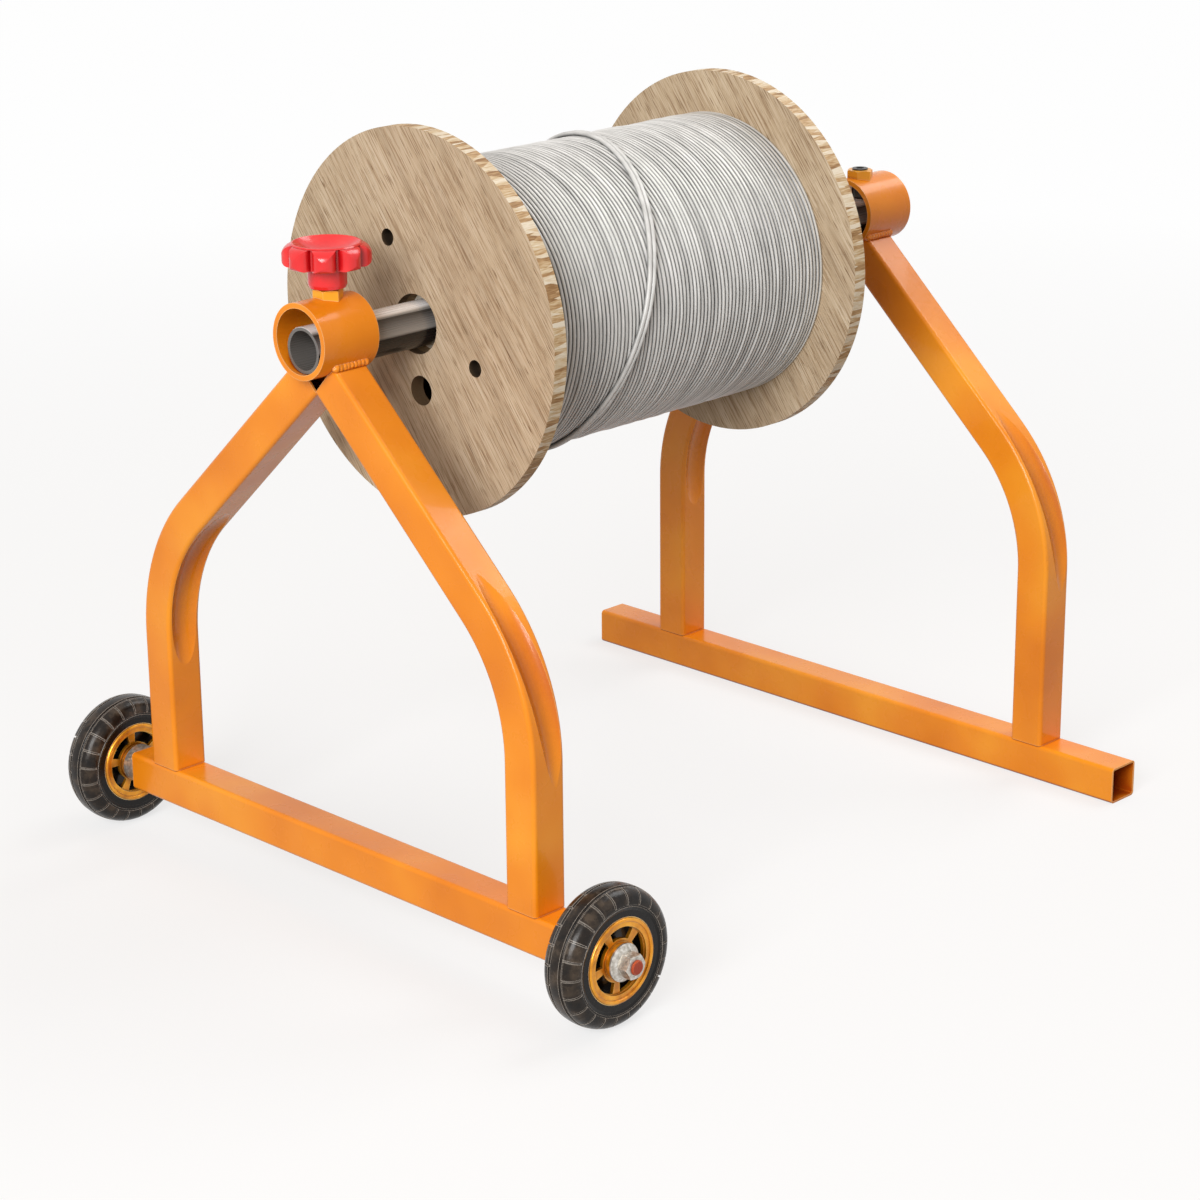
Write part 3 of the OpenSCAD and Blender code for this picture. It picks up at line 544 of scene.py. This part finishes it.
# Each turn also stands a little higher or lower than its neighbours, and is a little cleaner or dirtier.
# This is noise too, with so many steps from turn to turn and a circle of so many round the axle.
OWN_HEIGHT, OWN_DIRT = 0.7 * MM, 0.35
OWN_STEP, OWN_ROUND = 1.7, 1.1
# At both ends the waves die out over this length, so that the turns meet the flanges
CALM = 6 * MM


def smooth(t):
    """0 below 0, 1 above 1, and an even curve between."""
    t = min(1.0, max(0.0, t))
    return t * t * (3 - 2 * t)


def add_piece(name, points, faces, hollow, body):
    """A new wire piece made of points and faces, which rides on a body. hollow is how dark it is painted, 1
    in the depths where the painted shade is deepest.
    """
    mesh = bpy.data.meshes.new(name)
    mesh.from_pydata(points, [], faces)
    mesh.update()
    mesh.polygons.foreach_set("use_smooth", [True] * len(mesh.polygons))
    mesh.attributes.new("hollow", "FLOAT", "POINT").data.foreach_set("value", hollow)
    mesh.materials.append(SURFACES["wire_sheath"])
    piece = bpy.data.objects.new(name, mesh)
    bpy.context.scene.collection.objects.link(piece)
    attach(piece, body)
    return piece


def make_winding():
    """The wound wire: a round ridge for each turn of the outer layer, wavy as hands and machines lay it, and
    closed down to the drum. Next to the near flange the turns have slackened and hang lower."""
    low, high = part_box("wound_wire")
    near_x, far_x = low[0], high[0]
    turns = round((far_x - near_x) / WIRE_D)
    pitch = (far_x - near_x) / turns
    rows, points, hollow = [], [], []

    def add_row(x, radius, depth, drop=0.0, waves=0.0, turn=0, rise=0.0):
        rows.append(len(points))
        for j in range(ROUND_STEPS):
            a = 2 * math.pi * j / ROUND_STEPS
            c, s = math.cos(a), math.sin(a)
            spot = Vector((x * WAVES_ALONG, c * WAVES_ROUND, s * WAVES_ROUND))
            push = waves * (noise.noise(spot) * LONG_PUSH + noise.noise(spot * SHORT_TIMES) * SHORT_PUSH)
            lift = waves * noise.noise(spot * LIFT_TIMES + Vector((9, 4, 2))) * LIFT
            own = noise.noise(Vector((turn * OWN_STEP, c * OWN_ROUND, s * OWN_ROUND)))
            r = radius + lift + waves * rise * own * OWN_HEIGHT
            points.append((x + push, r * c, AXLE_Z + r * s - drop))
            hollow.append(min(1.0, max(0.0, depth - OWN_DIRT * own)))

    add_row(near_x, DRUM_R, 1.0)
    for k in range(turns):
        for step, depth in TURN_STEPS:
            if k == 0 and step == 0:
                continue
            x = near_x + (k + step) * pitch
            ends = min(1.0, (x - near_x) / CALM, (far_x - x) / CALM)
            rise = math.sqrt(1 - (2 * step - 1) ** 2)
            drop = SLACK * smooth(1 - (x - near_x) / SLACK_LENGTH)
            add_row(x, WINDING_R - WIRE_D / 2 * (1 - rise), depth, drop, ends, k, rise)
    add_row(far_x, WINDING_R - WIRE_D / 2, 1.0)
    add_row(far_x, DRUM_R, 1.0)

    faces = []
    for a, b in zip(rows, rows[1:] + rows[:1]):
        for j in range(ROUND_STEPS):
            n = (j + 1) % ROUND_STEPS
            faces.append((a + j, a + n, b + n, b + j))
    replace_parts(add_piece("wire_winding", points, faces, hollow, "spool"), "wound_wire")


# The two strands that cross over the winding: the angles round the axle, from +Y towards +Z, at which they
# start and end, the place along the axle where the first one starts, and how far it runs
STRAND_FROM, STRAND_TO = 50.0, 255.0
STRAND_START = middle("wound_wire").x + 33 * MM
STRAND_REACH = 148 * MM
STRAND_STEPS = 150
STRAND_SIDES = 12
# How far the two strands lie apart
STRAND_GAP = WIRE_D + 0.3 * MM
# Their bow and their S-bend, as shares of the run along the axle
STRAND_BOW, STRAND_BEND = 0.05, 0.045
# The share of their length, at each end, over which they slip under the winding
STRAND_DIVE = 0.07
# How high their middle rides over the winding, as a share of their thickness
STRAND_RIDE = 0.45
# How far they wander, in how many waves, and how many waves apart in the noise a metre's distance puts them
STRAND_WANDER, STRAND_WAVES, STRAND_APART = 0.4 * MM, 9, 700
# Darkening on top of a strand, the painted shade half way down its side, and how much that shade gains from
# there to the underside, which lies on the winding
TOP_DARKENING, SIDE_SHADE, UNDERSIDE_SHADE_GAIN = 0.14, 0.5, 0.55


def make_strands():
    """The two loose strands that cross over the winding and slip under it at both ends."""
    points, faces, hollow = [], [], []
    for shift in (0.0, STRAND_GAP):
        path = []
        for i in range(STRAND_STEPS):
            u = i / (STRAND_STEPS - 1)
            a = math.radians(STRAND_FROM + u * (STRAND_TO - STRAND_FROM))
            sway = STRAND_BOW * math.sin(math.pi * u) + STRAND_BEND * math.sin(2 * math.pi * u)
            dive = smooth(1 - u / STRAND_DIVE) + smooth(1 - (1 - u) / STRAND_DIVE)
            wave = STRAND_WANDER * noise.noise(Vector((u * STRAND_WAVES, shift * STRAND_APART, 3)))
            r = WINDING_R + WIRE_D * (STRAND_RIDE - dive) + wave
            path.append(Vector((STRAND_START + shift - STRAND_REACH * (u - sway) + wave,
                                r * math.cos(a), AXLE_Z + r * math.sin(a))))
        first = len(points)
        for i, p in enumerate(path):
            along = (path[min(i + 1, STRAND_STEPS - 1)] - path[max(i - 1, 0)]).normalized()
            out = Vector((0, p.y, p.z - AXLE_Z)).normalized()
            side = along.cross(out).normalized()
            out = side.cross(along)
            for k in range(STRAND_SIDES):
                c = 2 * math.pi * k / STRAND_SIDES
                points.append(tuple(p + WIRE_D / 2 * (math.cos(c) * side + math.sin(c) * out)))
                # Painted shade, deeper towards the underside that lies on the winding
                hollow.append(max(TOP_DARKENING, SIDE_SHADE - UNDERSIDE_SHADE_GAIN * math.sin(c)))
        for i in range(STRAND_STEPS - 1):
            a, b = first + i * STRAND_SIDES, first + (i + 1) * STRAND_SIDES
            for k in range(STRAND_SIDES):
                n = (k + 1) % STRAND_SIDES
                faces.append((a + k, b + k, b + n, a + n))
        last = first + (STRAND_STEPS - 1) * STRAND_SIDES
        faces.append(tuple(first + k for k in range(STRAND_SIDES)))
        faces.append(tuple(last + k for k in reversed(range(STRAND_SIDES))))
    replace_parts(add_piece("wire_crossing_strands", points, faces, hollow, "spool"), "crossover_wire")


make_winding()
make_strands()

# Floor and light


def shown(tree):
    """1 for the camera's rays and for those that shiny and clear surfaces send out, and 0 for the rest."""
    path = add(tree, "ShaderNodeLightPath").node.outputs
    seen = add(tree, "ShaderNodeMath", {0: path["Is Camera Ray"], 1: path["Is Glossy Ray"]},
               operation="MAXIMUM")
    return add(tree, "ShaderNodeMath", {0: seen, 1: path["Is Transmission Ray"]}, operation="MAXIMUM")


# Half the floor's width
FLOOR_HALF = 30
# The floor's own light, as a share: near the rack, where it has to show the shadow, and far from it. The
# distances are in metres from the middle.
NEAR, NEAR_SHARE = 0.5, 0.72
FAR, FAR_SHARE = 3.0, 0.985


def make_floor():
    """A wide pale floor that keeps the rack's soft shadow. To the camera and to shiny metal it is near white,
    and away from the rack it fades into the white background."""
    mesh = bpy.data.meshes.new("studio_floor")
    corners = [(x * FLOOR_HALF, y * FLOOR_HALF, 0) for x, y in ((-1, -1), (1, -1), (1, 1), (-1, 1))]
    mesh.from_pydata(corners, [], [(0, 1, 2, 3)])
    floor = bpy.data.objects.new("studio_floor", mesh)
    bpy.context.scene.collection.objects.link(floor)
    material, tree, shader, place = new_material("matt_pale_floor", roughness=0.9, Specular_IOR_Level=0.0)
    seen = shown(tree)
    pale = add(tree, "ShaderNodeMix", {"Factor": seen, "A": linear("#7C7C7C"), "B": linear("#EDEDED")},
               data_type="RGBA")
    tree.links.new(pale, shader.inputs["Base Color"])
    white = add(tree, "ShaderNodeEmission", {"Color": (1, 1, 1, 1), "Strength": 1.0})
    far = add(tree, "ShaderNodeVectorMath", {0: place}, operation="LENGTH").node.outputs["Value"]
    even = add(tree, "ShaderNodeMapRange", {"Value": far, "From Min": NEAR, "From Max": FAR,
                                            "To Min": NEAR_SHARE, "To Max": FAR_SHARE})
    share = add(tree, "ShaderNodeMath", {0: seen, 1: even}, operation="MULTIPLY")
    both = add(tree, "ShaderNodeMixShader", {0: share, 1: shader.outputs[0], 2: white})
    tree.links.new(both, tree.nodes["Material Output"].inputs["Surface"])
    mesh.materials.append(material)


# What the lamps are aimed at
LIT_MIDDLE = Vector((0, 0, 0.4))


def make_light(name, place, size, power):
    """A white soft box at a place, turned to face the middle of the rack, with its power in watts."""
    lamp = bpy.data.lights.new(name, "AREA")
    lamp.shape = "RECTANGLE"
    lamp.size, lamp.size_y = size
    lamp.energy = power
    box = bpy.data.objects.new(name, lamp)
    bpy.context.scene.collection.objects.link(box)
    box.location = place
    box.rotation_euler = (LIT_MIDDLE - Vector(place)).to_track_quat("-Z", "Y").to_euler()


def make_world():
    """Even pale light from all round; the camera and every shiny surface see plain white."""
    world = bpy.data.worlds.new("studio_world")
    bpy.context.scene.world = world
    world.use_nodes = True
    tree = world.node_tree
    seen = shown(tree)
    level = add(tree, "ShaderNodeMapRange", {"Value": seen, "To Min": 0.36, "To Max": 1.0})
    sky = tree.nodes["Background"]
    warm = add(tree, "ShaderNodeMix", {"Factor": seen, "A": linear("#FFEAD8"), "B": (1, 1, 1, 1)},
               data_type="RGBA")
    tree.links.new(warm, sky.inputs["Color"])
    tree.links.new(level, sky.inputs["Strength"])


make_floor()
make_world()
make_light("key_softbox", (-4.4, -2.0, 2.5), (2.6, 2.6), 262)
make_light("front_softbox", (0.8, -2.8, 1.8), (1.0, 1.8), 2)
make_light("top_softbox", (1.7, -0.4, 2.6), (1.6, 1.6), 36)

bpy.context.scene.view_settings.view_transform = "Standard"
